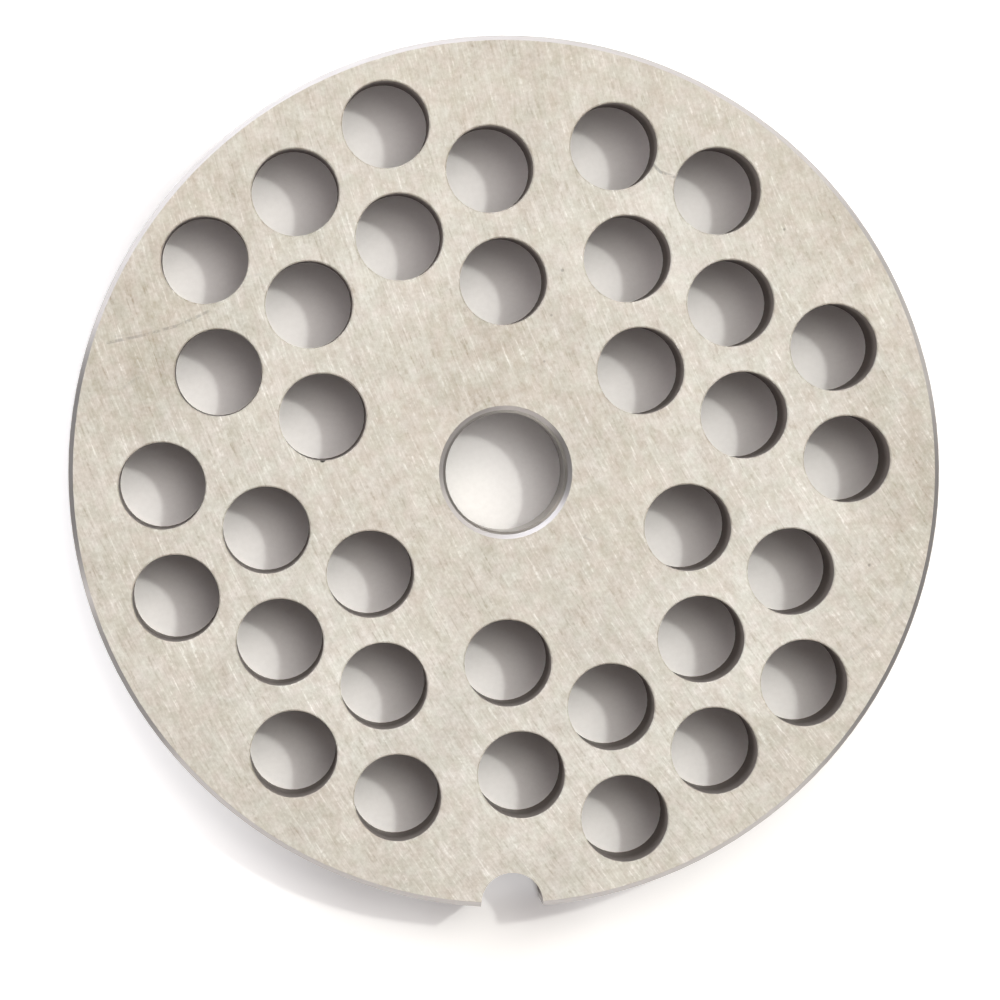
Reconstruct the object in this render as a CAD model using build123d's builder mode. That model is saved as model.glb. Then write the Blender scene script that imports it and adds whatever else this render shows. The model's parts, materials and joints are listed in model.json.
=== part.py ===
from build123d import *
import math
import os

# Hole plate of a hand or kitchen meat grinder, size 12.
#
# A ground steel disc that sits in the mouth of the grinder head.  The end of
# the feed screw runs in its centre bore, a turning knife sweeps one face, and
# the meat is pressed out through the holes.  A half-round notch in the rim
# slides over a key in the head, so the disc can't turn.
#
# Millimetres.  Origin on the bore's axis at the back face, +Z out of the
# cutting face, and the notch at -Y.

# Disc
plate_diameter = 70.0
plate_thickness = 8.0
rim_chamfer = 0.4

# Centre bore for the end of the feed screw
bore_diameter = 9.6
bore_chamfer = 0.57
bore_edge_break = 0.3    # takes the corner off between the chamfer and the bore

# Holes that the meat is pressed through
hole_diameter = 7.0
hole_edge_break = 0.1
hole_web = 2.05         # steel left between two neighbouring holes
hub_wall = 4.7          # least steel between the bore and a hole
rim_wall = 1.8          # least steel between a hole and the rim or the notch
pattern_angle = 36.0    # from +X to the axis of the two quarters that aren't moved out

# Notch for the key in the grinder head
notch_width = 5.0
notch_depth = 2.8

# Sizes that follow from those above
plate_radius = plate_diameter / 2
bore_radius = bore_diameter / 2
hole_radius = hole_diameter / 2
hole_pitch = hole_diameter + hole_web
row_step = hole_pitch * math.sqrt(3) / 2
notch_radius = notch_width / 2
notch_centre = (0, -(plate_radius - notch_depth + notch_radius))
least_hole_distance = bore_radius + hub_wall + hole_radius
greatest_hole_distance = plate_radius - rim_wall - hole_radius
least_notch_distance = notch_radius + rim_wall + hole_radius


def on_disc(along, across):
    """Turn a place in the pattern's own frame into the disc's X and Y."""
    turn = math.radians(pattern_angle)
    x = along * math.cos(turn) - across * math.sin(turn)
    y = along * math.sin(turn) + across * math.cos(turn)
    return (x, y)


def has_steel_around(centre):
    """Say whether a hole here leaves enough steel at the bore, rim and notch."""
    distance = math.hypot(*centre)
    clear_of_notch = math.dist(centre, notch_centre) >= least_notch_distance
    return least_hole_distance <= distance <= greatest_hole_distance and clear_of_notch


def hole_centres():
    """Centres of the holes: one triangular lattice, parted into four quarters.

    The disc's centre lies midway between two holes of a row.  The quarters
    that the rows run along keep their places, and the other two are moved out
    by half a pitch, which leaves a wider rib between each pair of quarters.
    """
    reach = math.ceil(plate_radius / row_step)
    centres = []
    for row in range(-reach, reach + 1):
        stagger = 0.5 if row % 2 == 0 else 0
        across = row * row_step
        moved_out = across + math.copysign(hole_pitch / 2, row)
        for place in range(-reach - 1, reach + 1):
            along = (place + stagger) * hole_pitch
            if abs(along) > abs(across):
                centres.append(on_disc(along, across))
            if row != 0 and abs(along) < abs(moved_out):
                centres.append(on_disc(along, moved_out))
    return [centre for centre in centres if has_steel_around(centre)]


def is_at_bore_radius(edge):
    """Say whether an edge is a circle of the bore's own radius."""
    return edge.geom_type == GeomType.CIRCLE and math.isclose(edge.radius, bore_radius, abs_tol=1e-6)


with BuildPart() as grinder_plate:
    Cylinder(plate_radius, plate_thickness, align=(Align.CENTER, Align.CENTER, Align.MIN))
    chamfer(grinder_plate.edges().filter_by(GeomType.CIRCLE), rim_chamfer)

    # Centre bore, chamfered at both faces, with the chamfer's inner corner broken
    with Locations((0, 0, plate_thickness)):
        Hole(bore_radius)
    chamfer(grinder_plate.edges(Select.LAST).filter_by(GeomType.CIRCLE), bore_chamfer)
    bore_corners = grinder_plate.edges(Select.LAST).filter_by(is_at_bore_radius)
    chamfer(bore_corners, bore_edge_break)

    # Meat holes, whose edges the knife has just broken on the cutting face
    with Locations(Plane.XY.offset(plate_thickness)):
        with Locations(*hole_centres()):
            Hole(hole_radius)
    hole_rims = grinder_plate.edges(Select.LAST).filter_by(GeomType.CIRCLE)
    chamfer(hole_rims.group_by(Axis.Z)[-1], hole_edge_break)

    # Key notch, milled in from the rim with a half-round end
    with BuildSketch(Plane.XY):
        with Locations(notch_centre):
            Circle(notch_radius)
            Rectangle(notch_width, notch_width, align=(Align.CENTER, Align.MAX))
    extrude(amount=plate_thickness, mode=Mode.SUBTRACT)

grinder_plate.part.label = "grinder_plate"

os.makedirs("parts", exist_ok=True)
export_step(grinder_plate.part, "parts/grinder_plate.step")
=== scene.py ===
import json
import math

import bpy
from mathutils import Matrix, Vector


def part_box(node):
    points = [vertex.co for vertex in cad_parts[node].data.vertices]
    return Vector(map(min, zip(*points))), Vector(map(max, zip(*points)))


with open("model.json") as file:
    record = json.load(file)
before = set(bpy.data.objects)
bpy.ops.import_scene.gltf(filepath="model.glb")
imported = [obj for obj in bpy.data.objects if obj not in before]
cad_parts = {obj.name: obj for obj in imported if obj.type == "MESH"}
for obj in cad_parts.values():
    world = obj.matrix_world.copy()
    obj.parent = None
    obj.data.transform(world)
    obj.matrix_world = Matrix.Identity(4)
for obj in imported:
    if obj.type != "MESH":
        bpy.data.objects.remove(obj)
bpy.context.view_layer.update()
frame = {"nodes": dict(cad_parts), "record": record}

# The plate lies on white paper in soft studio light.  The frame brings its shape, and this script
# brings its steel, the paper, the light and the camera.
#
# Lengths are in millimetres until they are given to Blender.  Azimuths, elevations and spreads are
# in degrees.

MM = 0.001
plate = frame["nodes"]["grinder_plate"]
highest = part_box("grinder_plate")[1]
mounts = {mount["name"]: mount for mount in frame["record"]["mounts"]}

# Sizes of the plate, from the frame
THICKNESS = highest[2] / MM
PLATE_RADIUS = highest[0] / MM
BORE_RADIUS = mounts["centre_bore"]["dims"]["r_mm"]
NOTCH_CENTRE = Vector(mounts["locating_notch"]["pos_m"]) / MM
NOTCH_RADIUS = mounts["locating_notch"]["dims"]["r_mm"]
BORE_MOUTH = (THICKNESS - mounts["centre_bore"]["dims"]["length_mm"]) / 2
RIM_CHAMFER = (THICKNESS - mounts["outer_rim"]["dims"]["length_mm"]) / 2

# The picture's own right and up: the plate lies turned a little to the left in it
PLATE_TURN = math.radians(0.9)
PICTURE_RIGHT = Vector((math.cos(PLATE_TURN), -math.sin(PLATE_TURN), 0))
PICTURE_UP = Vector((math.sin(PLATE_TURN), math.cos(PLATE_TURN), 0))


def in_picture(right, up, z=0.0):
    """A place from its distances along the picture's right and up."""
    return PICTURE_RIGHT * right + PICTURE_UP * up + Vector((0, 0, z))


def towards(azimuth, elevation):
    """Unit vector in a direction, its azimuth counted from the picture's right."""
    level = math.cos(math.radians(elevation))
    flat = in_picture(math.cos(math.radians(azimuth)), math.sin(math.radians(azimuth)))
    return flat * level + Vector((0, 0, math.sin(math.radians(elevation))))


# ---------------------------------------------------------------- camera

SENSOR = 36.0
NEAREST_SEEN = 10.0
FRAME_WIDTH = 80.2                                   # of the cutting face, that the picture takes in
CAMERA_HEIGHT = 413.0                                # above the cutting face
CAMERA_PLACE = in_picture(-20.9, 9.8, THICKNESS + CAMERA_HEIGHT)
CAMERA_TARGET = in_picture(-0.46, -2.21, THICKNESS)


def add_camera():
    back = (CAMERA_PLACE - CAMERA_TARGET).normalized()
    side = PICTURE_UP.cross(back).normalized()
    turn = Matrix((side, back.cross(side), back)).transposed().to_4x4()
    data = bpy.data.cameras.new("camera")
    data.sensor_width = SENSOR
    data.lens = SENSOR * (CAMERA_PLACE - CAMERA_TARGET).length / FRAME_WIDTH
    data.clip_start = NEAREST_SEEN * MM
    camera = bpy.data.objects.new("camera", data)
    camera.matrix_world = Matrix.Translation(CAMERA_PLACE * MM) @ turn
    bpy.context.collection.objects.link(camera)
    bpy.context.scene.camera = camera


# ---------------------------------------------------------------- node building

class Nodes:
    """A node tree, built by calls that take numbers, colours or other nodes' outputs."""

    def __init__(self, tree):
        self.tree = tree
        tree.nodes.clear()

    def add(self, kind, inputs=None, **settings):
        node = self.tree.nodes.new(kind)
        for name, value in settings.items():
            setattr(node, name, value)
        for name, value in (inputs or {}).items():
            self.put(node.inputs[name], value)
        return node

    def put(self, socket, value):
        if isinstance(value, bpy.types.NodeSocket):
            self.tree.links.new(value, socket)
        else:
            socket.default_value = value

    def math(self, operation, first, second=0.0):
        return self.add("ShaderNodeMath", {0: first, 1: second}, operation=operation).outputs[0]

    def total(self, *values):
        result = values[0]
        for value in values[1:]:
            result = self.math("ADD", result, value)
        return result

    def product(self, *values):
        result = values[0]
        for value in values[1:]:
            result = self.math("MULTIPLY", result, value)
        return result

    def greatest(self, *values):
        result = values[0]
        for value in values[1:]:
            result = self.math("MAXIMUM", result, value)
        return result

    def invert(self, value):
        return self.math("SUBTRACT", 1.0, value)

    def around_zero(self, noise, amount):
        """Turn a noise about one half into a change of this size about nought."""
        return self.product(self.math("SUBTRACT", noise, 0.5), 2 * amount)

    def clamped(self, value):
        return self.add("ShaderNodeClamp", {"Value": value}).outputs[0]

    def vector(self, operation, first, second=(0, 0, 0)):
        node = self.add("ShaderNodeVectorMath", {0: first, 1: second}, operation=operation)
        return node.outputs["Value" if operation in ("LENGTH", "DOT_PRODUCT", "DISTANCE") else "Vector"]

    def scaled(self, vector, amount):
        node = self.add("ShaderNodeVectorMath", {0: vector, "Scale": amount}, operation="SCALE")
        return node.outputs[0]

    def combine(self, x, y, z):
        return self.add("ShaderNodeCombineXYZ", {"X": x, "Y": y, "Z": z}).outputs[0]

    def separate(self, vector):
        return self.add("ShaderNodeSeparateXYZ", {0: vector}).outputs

    def place(self):
        """Where a point of the object lies, in millimetres."""
        return self.scaled(self.add("ShaderNodeTexCoord").outputs["Object"], 1 / MM)

    def flattened(self, place):
        """The same place without its height."""
        return self.vector("MULTIPLY", place, (1, 1, 0))

    def step(self, value, start, end):
        """Rise smoothly from 0 to 1 while the value goes from start to end."""
        return self.add("ShaderNodeMapRange", {"Value": value, "From Min": start, "From Max": end},
                        interpolation_type="SMOOTHSTEP").outputs[0]

    def noise(self, vector, scale=1.0, detail=2.0, roughness=0.5):
        return self.add("ShaderNodeTexNoise", {"Vector": vector, "Scale": scale, "Detail": detail,
                                               "Roughness": roughness}).outputs[0]

    def blend(self, amount, first, second):
        """Mix two colours."""
        node = self.add("ShaderNodeMix", {0: amount, 6: first, 7: second}, data_type="RGBA")
        return node.outputs[2]

    def between(self, amount, pair):
        """Mix a pair of colours that are given as red, green and blue."""
        return self.blend(amount, rgb(*pair[0]), rgb(*pair[1]))

    def lerp(self, amount, first, second):
        """Mix two numbers."""
        return self.add("ShaderNodeMix", {0: amount, 2: first, 3: second}, data_type="FLOAT").outputs[0]


def rgb(red, green, blue):
    return (red, green, blue, 1.0)


def new_material(name):
    """A material and the builder of its nodes."""
    material = bpy.data.materials.new(name)
    material.use_nodes = True
    return material, Nodes(material.node_tree)


# ---------------------------------------------------------------- light

# Each lamp is a round soft box, turned to the plate: the share of white that it gives a level white
# surface, its azimuth and elevation, the angle that it spreads over, its distance and its colour
LAMPS = {
    "key": (0.22, 33.2, 63.0, 3, 1300, (1.0, 1.0, 0.95)),
    "key_halo": (0.345, 48, 65, 34, 3000, (1.0, 0.99, 0.94)),
    "wide_halo": (0.105, 48, 66, 60, 3000, (1.0, 0.93, 0.89)),
    "near_card": (0.12, 128, 69, 36, 125, (1.0, 0.93, 0.94)),
    "low_window": (0.14, 120, 14, 58, 3000, (0.82, 0.87, 1.0)),
    "fill": (0.07, 292, 38, 40, 3000, (1.0, 0.95, 0.98)),
}
SKY_LEVEL = 0.19
SKY_COLOUR = (1.0, 0.895, 0.89)
BACKDROP_COLOUR = (1, 1, 1)
BACKDROP_LEVEL = 1.0
BACKDROP_TOP = 0.25                                  # sine of the elevation that the backdrop reaches


def add_lamp(name, share, azimuth, elevation, spread, distance, colour):
    half_spread = math.radians(spread) / 2
    reach = math.pi * distance * MM / math.cos(half_spread)
    data = bpy.data.lights.new(name, "AREA")
    data.shape = "DISK"
    data.size = 2 * distance * MM * math.tan(half_spread)
    data.energy = share * reach ** 2 / math.sin(math.radians(elevation))
    data.color = colour
    lamp = bpy.data.objects.new(name, data)
    lamp.visible_camera = False
    lamp.location = towards(azimuth, elevation) * distance * MM
    lamp.rotation_euler = towards(azimuth, elevation).to_track_quat("Z", "Y").to_euler()
    bpy.context.collection.objects.link(lamp)


def seen_by_eye(nodes):
    """1 for what the camera sees, straight or mirrored in the steel, and 0 for what only gives light."""
    path = nodes.add("ShaderNodeLightPath").outputs
    return nodes.greatest(path["Is Camera Ray"], path["Is Glossy Ray"], path["Is Transmission Ray"])


def add_world():
    """An even pale sky above a plain white backdrop."""
    world = bpy.data.worlds.new("studio")
    bpy.context.scene.world = world
    world.use_nodes = True
    nodes = Nodes(world.node_tree)
    height = nodes.separate(nodes.add("ShaderNodeTexCoord").outputs["Generated"])[2]
    backdrop = nodes.product(nodes.step(height, BACKDROP_TOP, BACKDROP_TOP / 2), seen_by_eye(nodes))
    strength = nodes.lerp(backdrop, SKY_LEVEL, BACKDROP_LEVEL)
    colour = nodes.between(backdrop, (SKY_COLOUR, BACKDROP_COLOUR))
    background = nodes.add("ShaderNodeBackground", {"Color": colour, "Strength": strength})
    nodes.add("ShaderNodeOutputWorld", {"Surface": background.outputs[0]})


# ---------------------------------------------------------------- floor

FLOOR_HALF = 1500.0
FLOOR_DROP = 0.02                                    # keeps the floor clear of the plate's back
PAPER = ((0.925, 0.915, 0.905), (0.965, 0.955, 0.945))
PAPER_FIBRES = dict(scale=2.2, detail=4.0, roughness=0.7)
PAPER_CONTRAST = (0.3, 0.7)

# Beyond the plate's edge the paper glows a little for the eye, so that it stands as white.  Each pair
# is where that change of the glow starts and where it is whole.
FLOOR_GLOW = 0.22
OUTSIDE_FADE = (PLATE_RADIUS - 0.5, PLATE_RADIUS + 0.5)
# painted light: more of it on the left side, which washes out most of the shadow there, by the cosine of
# the angle to that side's middle
LEFT_SHADOW_LIFT = 0.29
LEFT_SHADOW_LIFT_AZIMUTH = 196
LEFT_SHADOW_LIFT_FADE = (0.55, 0.97)
# painted light: more of it inside the notch, which lifts the shade on the paper there, by the distance to
# the notch's centre
NOTCH_GLOW = 0.14
NOTCH_FADE = (NOTCH_RADIUS + 0.3, NOTCH_RADIUS - 0.4)
# painted shadow: less of it beyond the notch, so that the shadow there looks longer
NOTCH_PAINTED_SHADOW = 0.10
NOTCH_PAINTED_SHADOW_FADE = (9.0, 3.0)
BEYOND_FADE = (PLATE_RADIUS - 1.5, PLATE_RADIUS + 1.5)


def floor_glow(nodes, place):
    """Strength of the paper's glow, with painted light on the left side and in the notch, and a painted
    shadow beyond the notch.
    """
    flat = nodes.flattened(place)
    distance = nodes.vector("LENGTH", flat)
    aside = nodes.vector("DOT_PRODUCT", nodes.vector("NORMALIZE", flat), tuple(towards(LEFT_SHADOW_LIFT_AZIMUTH, 0)))
    # painted light that washes out most of the shadow on the left side
    strength = nodes.total(FLOOR_GLOW, nodes.product(nodes.step(aside, *LEFT_SHADOW_LIFT_FADE), LEFT_SHADOW_LIFT))
    outside = nodes.step(distance, *OUTSIDE_FADE)
    from_notch = nodes.vector("DISTANCE", flat, (NOTCH_CENTRE.x, NOTCH_CENTRE.y, 0))
    in_notch = nodes.step(from_notch, *NOTCH_FADE)
    beyond = nodes.step(distance, *BEYOND_FADE)
    # painted shadow on the paper beyond the notch
    painted_shadow = nodes.product(nodes.step(from_notch, *NOTCH_PAINTED_SHADOW_FADE), beyond, -NOTCH_PAINTED_SHADOW)
    # painted light on the paper inside the notch
    strength = nodes.total(strength, nodes.product(in_notch, nodes.invert(beyond), NOTCH_GLOW), painted_shadow)
    return nodes.product(seen_by_eye(nodes), nodes.greatest(outside, in_notch), strength)


def floor_material():
    material, nodes = new_material("paper")
    place = nodes.place()
    fibres = nodes.noise(place, **PAPER_FIBRES)
    colour = nodes.between(nodes.step(fibres, *PAPER_CONTRAST), PAPER)
    paper = nodes.add("ShaderNodeBsdfDiffuse", {"Color": colour})
    glow = nodes.add("ShaderNodeEmission", {"Strength": floor_glow(nodes, place)})
    both = nodes.add("ShaderNodeAddShader", {0: paper.outputs[0], 1: glow.outputs[0]})
    nodes.add("ShaderNodeOutputMaterial", {"Surface": both.outputs[0]})
    return material


def add_floor():
    half = FLOOR_HALF * MM
    mesh = bpy.data.meshes.new("floor")
    corners = [(-half, -half, 0), (half, -half, 0), (half, half, 0), (-half, half, 0)]
    mesh.from_pydata(corners, [], [(0, 1, 2, 3)])
    floor = bpy.data.objects.new("floor", mesh)
    floor.location.z = -FLOOR_DROP * MM
    floor.data.materials.append(floor_material())
    bpy.context.collection.objects.link(floor)


# ---------------------------------------------------------------- marks of use, tone areas, and painted shade and highlights on round edges

# Scratches on the face: the points that each runs through, in the picture's own directions, its
# width, and how much darker it is than the steel around it
SCRATCHES = [
    ([(-31.8, 10.4), (-29.0, 11.0), (-26.1, 11.8), (-23.8, 12.9)], 0.17, 0.24),
    ([(-31.2, 10.9), (-28.6, 11.3)], 0.13, 0.10),
    ([(-30.9, 6.6), (-29.4, 7.6)], 0.15, 0.12),
    ([(-24.4, 15.0), (-22.2, 15.3), (-19.6, 15.9)], 0.15, 0.09),
    ([(11.6, 24.9), (12.4, 24.1), (13.5, 23.7)], 0.17, 0.30),
    ([(31.4, 6.9), (32.1, 6.3), (33.0, 5.4)], 0.12, 0.10),
    ([(31.4, 6.9), (32.4, 8.0)], 0.12, 0.09),
    ([(30.0, 14.2), (31.2, 12.2), (31.7, 11.0)], 0.12, 0.09),
    ([(32.8, -7.3), (31.9, -10.6), (30.0, -13.5), (27.9, -14.9)], 0.18, 0.09),
    ([(6.6, -4.9), (6.3, -5.2), (6.9, -5.5)], 0.13, 0.15),
]
SCRATCH_GRAIN = (0.38, 0.58)                         # values of the grain that break a scratch up
# Pits and specks: place, radius and darkness
SPECKS = [
    ((-14.68, 1.02), 0.28, 0.85), ((4.55, 16.2), 0.17, 0.28), ((3.67, 12.6), 0.13, 0.24),
    ((3.10, 8.9), 0.13, 0.24), ((22.4, 19.5), 0.14, 0.32), ((29.3, -7.5), 0.16, 0.30),
    ((28.2, -6.6), 0.12, 0.16), ((22.7, -22.4), 0.35, 0.08), ((19.0, -18.0), 0.4, 0.07),
]
# Broad areas that are made lighter or darker: place, radius and change of tone
TONE_AREAS = [
    ((12.5, 18.5), 7, 0.09), ((25.0, -4.0), 8, 0.08), ((20.0, -13.0), 11, 0.10),
    ((-14.0, -16.0), 12, 0.07), ((4.0, -26.0), 20, 0.06), ((19.5, 5.0), 9, 0.05),
    ((-28.0, 11.0), 12, -0.10), ((-24.0, 22.0), 9, -0.06), ((-1.0, 9.0), 9, -0.08),
    ((0.0, 35.0), 22, -0.06), ((28.0, 22.0), 9, -0.08), ((33.0, -2.0), 8, -0.09),
]
# Painted shade on the chamfers and down the bore, darker at some azimuths: azimuth, half its width and
# its strength
RIM_PAINTED_SHADE = [(344, 34, 0.57), (22, 22, 0.22), (178, 20, 0.60), (209, 14, 0.45)]
BORE_PAINTED_SHADE = [(8, 44, 0.50), (145, 65, 0.32)]
# A painted highlight on the broken inner corner of the bore's mouth, given in the same way
BORE_PAINTED_HIGHLIGHT = [(285, 75, 0.80)]


def marks_of_use(nodes, flat, grain):
    """How dark the scratches and specks are, from 0 for clean steel."""
    dark = 0.0
    broken = nodes.step(grain, *SCRATCH_GRAIN)
    for points, width, depth in SCRATCHES:
        for start, end in zip(points, points[1:]):
            first, last = in_picture(*start), in_picture(*end)
            run = last - first
            from_first = nodes.vector("SUBTRACT", flat, tuple(first))
            along = nodes.vector("DOT_PRODUCT", from_first, tuple(run))
            share = nodes.clamped(nodes.product(along, 1 / run.length_squared))
            aside = nodes.vector("DISTANCE", from_first, nodes.scaled(tuple(run), share))
            line = nodes.product(nodes.step(aside, width, width / 3), depth, broken)
            dark = nodes.greatest(dark, line)
    for place, radius, depth in SPECKS:
        aside = nodes.vector("DISTANCE", flat, tuple(in_picture(*place)))
        dark = nodes.greatest(dark, nodes.product(nodes.step(aside, radius, radius / 2), depth))
    return dark


def tone_of_areas(nodes, flat):
    """Change of tone that the broad lighter and darker areas bring."""
    tone = 0.0
    for place, radius, change in TONE_AREAS:
        aside = nodes.vector("DISTANCE", flat, tuple(in_picture(*place)))
        tone = nodes.total(nodes.product(nodes.step(aside, radius, 0), change), tone)
    return tone


def round_an_edge(nodes, flat, places):
    """Strength of a painted shade or painted highlight that lies at some azimuths of a round edge."""
    outwards = nodes.vector("NORMALIZE", flat)
    strongest = 0.0
    for azimuth, half_width, strength in places:
        facing = nodes.vector("DOT_PRODUCT", outwards, tuple(towards(azimuth, 0)))
        ends = math.cos(math.radians(half_width))
        middle = math.cos(math.radians(half_width / 3))
        strongest = nodes.greatest(nodes.product(nodes.step(facing, ends, middle), strength), strongest)
    return strongest


# ---------------------------------------------------------------- ground faces

GRINDING_CENTRE = in_picture(138, 69)                # about which the grinding wheel swept the face
GRINDING_RADIUS = 155.0

# Grinding marks: the noise's layer, and the width and length of a mark
FINE_MARKS = dict(layer=0.0, width=0.16, length=0.9)
DASHES = dict(layer=7.0, width=0.20, length=2.4, detail=1.5)
LONG_MARKS = dict(layer=21.0, width=0.16, length=9.0, detail=1.0)
BANDS = dict(layer=13.0, width=0.8, length=9.0)
MARKS_ROUGHNESS = 0.55                               # of their noise
# Noises without a direction, and how far three of them are shifted so that they differ
GRAIN = dict(scale=3.2, detail=2.0, roughness=0.6)
BLOTCHES = dict(scale=0.9, detail=3.0, roughness=0.6)
HUES = dict(scale=0.55, detail=3.0, roughness=0.6)
TINTS = dict(scale=0.7, detail=3.0, roughness=0.6)
PATCHES = dict(scale=0.16, detail=3.0, roughness=0.6)
STAIN = dict(scale=0.10, detail=3.0, roughness=0.55)
HUES_SHIFT = (15, 60, -8)
TINTS_SHIFT = (-30, 25, 3)
STAIN_SHIFT = (40, 10, 0)

# Bright and dark dashes show where each of these noises passes from its first value to its second
BRIGHT_DASHES = {"dashes": (0.54, 0.72), "patches": (0.34, 0.60), "grain": (0.28, 0.60)}
DARK_DASHES = {"dashes": (0.46, 0.28), "patches": (0.66, 0.42), "grain": (0.72, 0.40)}
LONG_MARKS_SHOWN = (0.66, 0.74)
# How much each of them changes the tone of the steel
FINE_TONE = 0.22
GRAIN_TONE = 0.22
BLOTCH_TONE = 0.16
BAND_TONE = 0.11
BRIGHT_TONE = 0.21
DARK_TONE = -0.16
LONG_TONE = 0.10
STAIN_TONE = 0.14
# The tone's change from 1 is added as this colour, which is paler than the steel itself
TONE_COLOUR = (0.62, 0.665, 0.715)

# Clean steel and steel with a tan film, each a pair that the tints run between
CLEAN_STEEL = ((0.674, 0.664, 0.607), (0.685, 0.658, 0.609))
FILMED_STEEL = ((0.641, 0.616, 0.546), (0.652, 0.610, 0.548))
TINTS_CONTRAST = (0.36, 0.64)
# The webs between the holes are worn brighter, and the hub and the rim keep more of the film
WEBS_BEGIN = (11, 18)
WEBS_END = (31, 25)
FILM_LEFT = 0.65
FILM_ON_WEBS = 0.35
# How much these noises change the film
HUES_FILM = 0.9
PATCHES_FILM = 0.6
STAIN_FILM = 0.7

# The holes' broken edges, which the knife and handling have rounded over, are painted lighter, a painted
# highlight, from this far below a face
EDGE_DEPTH = (0.005, 0.02)
EDGE_PAINTED_HIGHLIGHT = 1.12

FACE_ROUGHNESS = 0.76
# What the fine marks, the grain and the edges change it by
FINE_ROUGHNESS = 0.12
GRAIN_ROUGHNESS = 0.08
EDGE_ROUGHNESS = 0.16
# Shares of the relief
FINE_HEIGHT = 0.6
DASH_HEIGHT = 0.4


def grinding_coordinates(nodes, place):
    """Distance across and along the grinding marks."""
    x, y = nodes.separate(nodes.vector("SUBTRACT", place, tuple(GRINDING_CENTRE)))[:2]
    across = nodes.math("SQRT", nodes.total(nodes.product(x, x), nodes.product(y, y)))
    along = nodes.product(nodes.math("ARCTAN2", y, x), GRINDING_RADIUS)
    return across, along


def marks(nodes, across, along, layer, width, length, detail=2.0):
    """Noise drawn out along the grinding marks."""
    vector = nodes.combine(nodes.product(across, 1 / width), nodes.product(along, 1 / length), layer)
    return nodes.noise(vector, detail=detail, roughness=MARKS_ROUGHNESS)


def where_all(nodes, noises, ranges):
    """1 where every noise has passed through its range."""
    return nodes.product(*(nodes.step(noises[name], *ends) for name, ends in ranges.items()))


def face_finish(nodes, place, flat, radius, below_a_face):
    """Colour, roughness and height of the ground faces."""
    across, along = grinding_coordinates(nodes, place)
    fine = marks(nodes, across, along, **FINE_MARKS)
    dashes = marks(nodes, across, along, **DASHES)
    long_marks = marks(nodes, across, along, **LONG_MARKS)
    bands = marks(nodes, across, along, **BANDS)
    grain = nodes.noise(place, **GRAIN)
    blotches = nodes.noise(place, **BLOTCHES)
    hues = nodes.noise(nodes.vector("ADD", place, HUES_SHIFT), **HUES)
    tints = nodes.noise(nodes.vector("ADD", place, TINTS_SHIFT), **TINTS)
    patches = nodes.noise(flat, **PATCHES)
    stain = nodes.noise(nodes.vector("ADD", flat, STAIN_SHIFT), **STAIN)

    noises = {"dashes": dashes, "patches": patches, "grain": grain}
    bright = where_all(nodes, noises, BRIGHT_DASHES)
    dark = where_all(nodes, noises, DARK_DASHES)
    tone = nodes.total(1.0, nodes.around_zero(fine, FINE_TONE), nodes.around_zero(grain, GRAIN_TONE),
                       nodes.around_zero(blotches, BLOTCH_TONE), nodes.around_zero(bands, BAND_TONE),
                       nodes.product(bright, BRIGHT_TONE), nodes.product(dark, DARK_TONE),
                       nodes.product(nodes.step(long_marks, *LONG_MARKS_SHOWN), LONG_TONE),
                       nodes.around_zero(stain, STAIN_TONE), tone_of_areas(nodes, flat))

    on_webs = nodes.product(nodes.step(radius, *WEBS_BEGIN), nodes.step(radius, *WEBS_END))
    film = nodes.total(nodes.lerp(on_webs, FILM_LEFT, FILM_ON_WEBS), nodes.around_zero(hues, HUES_FILM),
                       nodes.around_zero(patches, PATCHES_FILM), nodes.around_zero(stain, STAIN_FILM))
    film = nodes.clamped(film)
    tint = nodes.step(tints, *TINTS_CONTRAST)
    colour = nodes.blend(film, nodes.between(tint, CLEAN_STEEL), nodes.between(tint, FILMED_STEEL))
    colour = nodes.vector("ADD", colour, nodes.scaled(TONE_COLOUR, nodes.math("SUBTRACT", tone, 1.0)))
    colour = nodes.scaled(colour, nodes.invert(marks_of_use(nodes, flat, grain)))
    # painted highlight on the holes' broken edges
    edge = nodes.step(below_a_face, *EDGE_DEPTH)
    colour = nodes.scaled(colour, nodes.lerp(edge, 1.0, EDGE_PAINTED_HIGHLIGHT))
    roughness = nodes.total(FACE_ROUGHNESS, nodes.around_zero(fine, FINE_ROUGHNESS),
                            nodes.around_zero(grain, GRAIN_ROUGHNESS),
                            nodes.product(edge, EDGE_ROUGHNESS))
    height = nodes.total(nodes.product(fine, FINE_HEIGHT), nodes.product(dashes, DASH_HEIGHT))
    return colour, roughness, height


# ---------------------------------------------------------------- walls, bore and rim

DRILL_MARKS = (1.5, 1.5, 4.0)                        # how dense the marks are along X, Y and Z
DRILL_NOISE = dict(scale=1.0, detail=3.0, roughness=0.65)
TURNING_MARKS = (0.4, 0.4, 9.0)
TURNING_NOISE = dict(scale=1.0, detail=2.0)
BARE_WALL = ((0.36, 0.32, 0.30), (0.52, 0.47, 0.44))
# Painted shade: the holes' walls turn to this darker colour low down
LOW_WALL_SHADE_COLOUR = (0.150, 0.125, 0.112)
LOW_WALL_SHADE_FADE = (THICKNESS - 1.0, THICKNESS - 4.5)    # heights at which it begins and covers all
LOW_WALL_SHADE_RAGGEDNESS = 1.2
TURNED_STEEL = ((0.43, 0.41, 0.385), (0.55, 0.53, 0.50))
CHAMFER_STEEL = ((0.62, 0.595, 0.575), (0.73, 0.705, 0.685))
BORE_PAINTED_SHEEN = 1.25                                    # painted sheen: the bore's chamfer is painted this much brighter than the rim's
# Heights over which the finish turns into that of the bore's mouth, and of both chamfers
MOUTH_START = THICKNESS - BORE_MOUTH
MOUTH_FADE = (MOUTH_START - 0.05, MOUTH_START + 0.05)
CHAMFER_FADE = (MOUTH_START + 0.45, MOUTH_START + 0.55)
DRILLED_ROUGHNESS = 0.55
TURNED_ROUGHNESS = 0.35
CHAMFER_ROUGHNESS = 0.66


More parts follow.
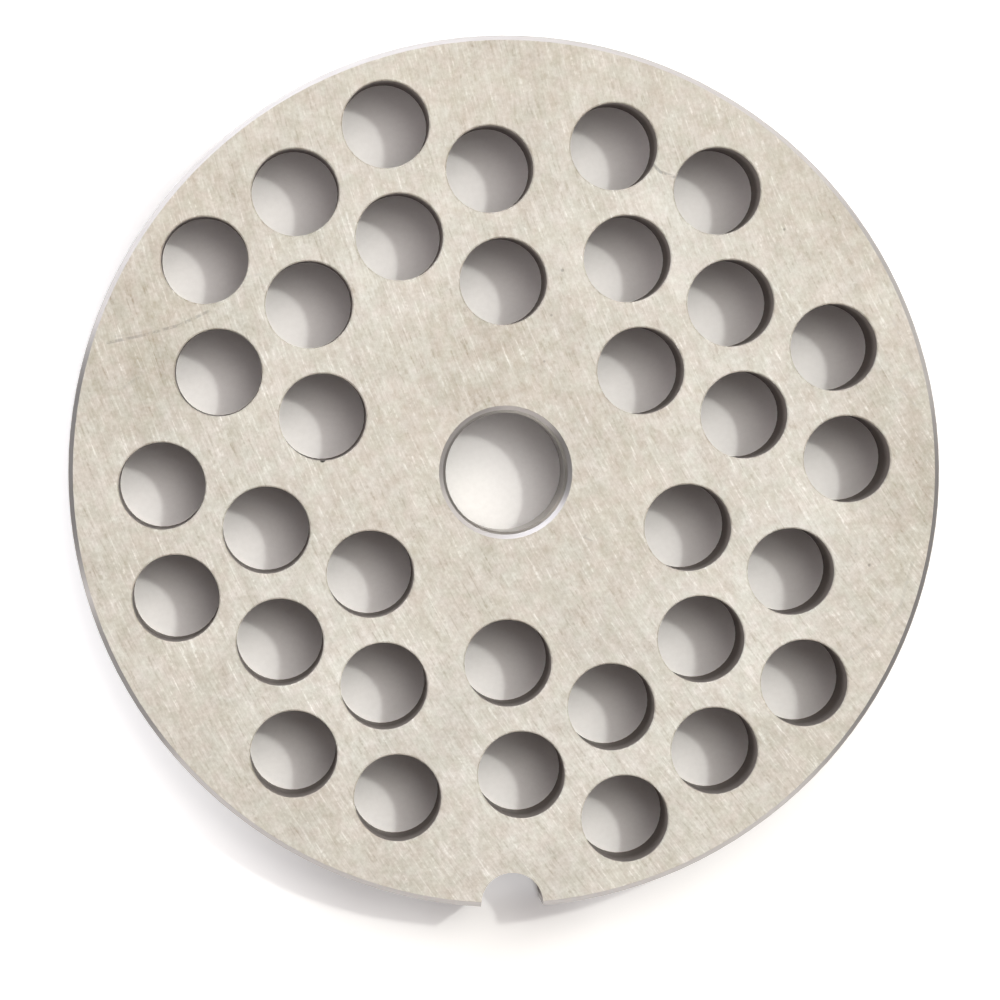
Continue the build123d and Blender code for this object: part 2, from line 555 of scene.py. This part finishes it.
def wall_finish(nodes, place, flat, z, is_rim, is_turned):
    """Colour, roughness and height of the drilled holes, the bore and the rim."""
    drilled = nodes.noise(nodes.vector("MULTIPLY", place, DRILL_MARKS), **DRILL_NOISE)
    turned = nodes.noise(nodes.vector("MULTIPLY", place, TURNING_MARKS), **TURNING_NOISE)

    # painted shade: the walls are painted darker low in the holes, and less so towards the cutting face
    ragged_z = nodes.total(z, nodes.around_zero(drilled, LOW_WALL_SHADE_RAGGEDNESS))
    low_wall_shade = nodes.step(ragged_z, *LOW_WALL_SHADE_FADE)
    drilled_colour = nodes.blend(low_wall_shade, nodes.between(drilled, BARE_WALL), rgb(*LOW_WALL_SHADE_COLOUR))

    turned_colour = nodes.between(turned, TURNED_STEEL)
    chamfer_colour = nodes.between(turned, CHAMFER_STEEL)
    is_in_bore = nodes.invert(is_rim)
    # painted shade at some azimuths of the chamfers and down the bore
    film = nodes.lerp(is_rim, round_an_edge(nodes, flat, BORE_PAINTED_SHADE), round_an_edge(nodes, flat, RIM_PAINTED_SHADE))
    # painted sheen on the bore's chamfer, less the painted shade
    sheen_and_shade = nodes.product(nodes.lerp(is_rim, BORE_PAINTED_SHEEN, 1.0), nodes.invert(film))
    chamfer_colour = nodes.scaled(chamfer_colour, sheen_and_shade)
    # in the bore the painted shade runs on down the wall
    turned_colour = nodes.scaled(turned_colour, nodes.invert(nodes.product(film, is_in_bore)))
    in_mouth = nodes.step(z, *MOUTH_FADE)
    # painted highlight on the bottom of the bore's mouth
    mouth_highlight = nodes.product(round_an_edge(nodes, flat, BORE_PAINTED_HIGHLIGHT), in_mouth, is_in_bore)
    turned_colour = nodes.scaled(turned_colour, nodes.total(1.0, mouth_highlight))

    on_chamfer = nodes.step(z, *CHAMFER_FADE)
    turned_colour = nodes.blend(on_chamfer, turned_colour, chamfer_colour)
    colour = nodes.blend(is_turned, drilled_colour, turned_colour)
    turned_roughness = nodes.lerp(on_chamfer, TURNED_ROUGHNESS, CHAMFER_ROUGHNESS)
    roughness = nodes.lerp(is_turned, DRILLED_ROUGHNESS, turned_roughness)
    height = nodes.lerp(is_turned, drilled, turned)
    return colour, roughness, height


# ---------------------------------------------------------------- steel

# Distances from the axis over which the finish turns into that of the bore and of the rim
BORE_FADE = (BORE_RADIUS + 1.0, BORE_RADIUS + 0.8)
RIM_FADE = (PLATE_RADIUS - RIM_CHAMFER - 0.1, PLATE_RADIUS - RIM_CHAMFER)
# How far below a face its finish reaches: it takes in the holes' broken edges, and stops short of
# the chamfers
REACH_AT_HOLES = 0.125
REACH_AT_CHAMFERS = 0.02
REACH_FADE = (0.015, -0.015)
RELIEF = 0.004                                       # depth of the finest marks


def steel_material():
    material, nodes = new_material("ground_steel")
    place = nodes.place()
    flat = nodes.flattened(place)
    radius = nodes.vector("LENGTH", flat)
    z = nodes.separate(place)[2]
    below_a_face = nodes.math("MINIMUM", z, nodes.math("SUBTRACT", THICKNESS, z))
    is_bore = nodes.step(radius, *BORE_FADE)
    is_rim = nodes.step(radius, *RIM_FADE)
    is_turned = nodes.greatest(is_bore, is_rim)
    reach = nodes.lerp(is_turned, REACH_AT_HOLES, REACH_AT_CHAMFERS)
    on_face = nodes.step(nodes.math("SUBTRACT", below_a_face, reach), *REACH_FADE)

    face_colour, face_roughness, face_height = face_finish(nodes, place, flat, radius, below_a_face)
    wall_colour, wall_roughness, wall_height = wall_finish(nodes, place, flat, z, is_rim, is_turned)
    height = nodes.lerp(on_face, wall_height, face_height)
    steel = nodes.add("ShaderNodeBsdfPrincipled", {
        "Base Color": nodes.blend(on_face, wall_colour, face_colour),
        "Metallic": 1.0,
        "Roughness": nodes.lerp(on_face, wall_roughness, face_roughness),
        "Normal": nodes.add("ShaderNodeBump", {"Distance": RELIEF * MM, "Height": height}).outputs[0],
    })
    nodes.add("ShaderNodeOutputMaterial", {"Surface": steel.outputs[0]})
    return material


# ---------------------------------------------------------------- the scene

add_camera()
for lamp_name, settings in LAMPS.items():
    add_lamp(lamp_name, *settings)
add_world()
add_floor()
plate.data.materials[0] = steel_material()

bpy.context.scene.view_settings.view_transform = "Standard"
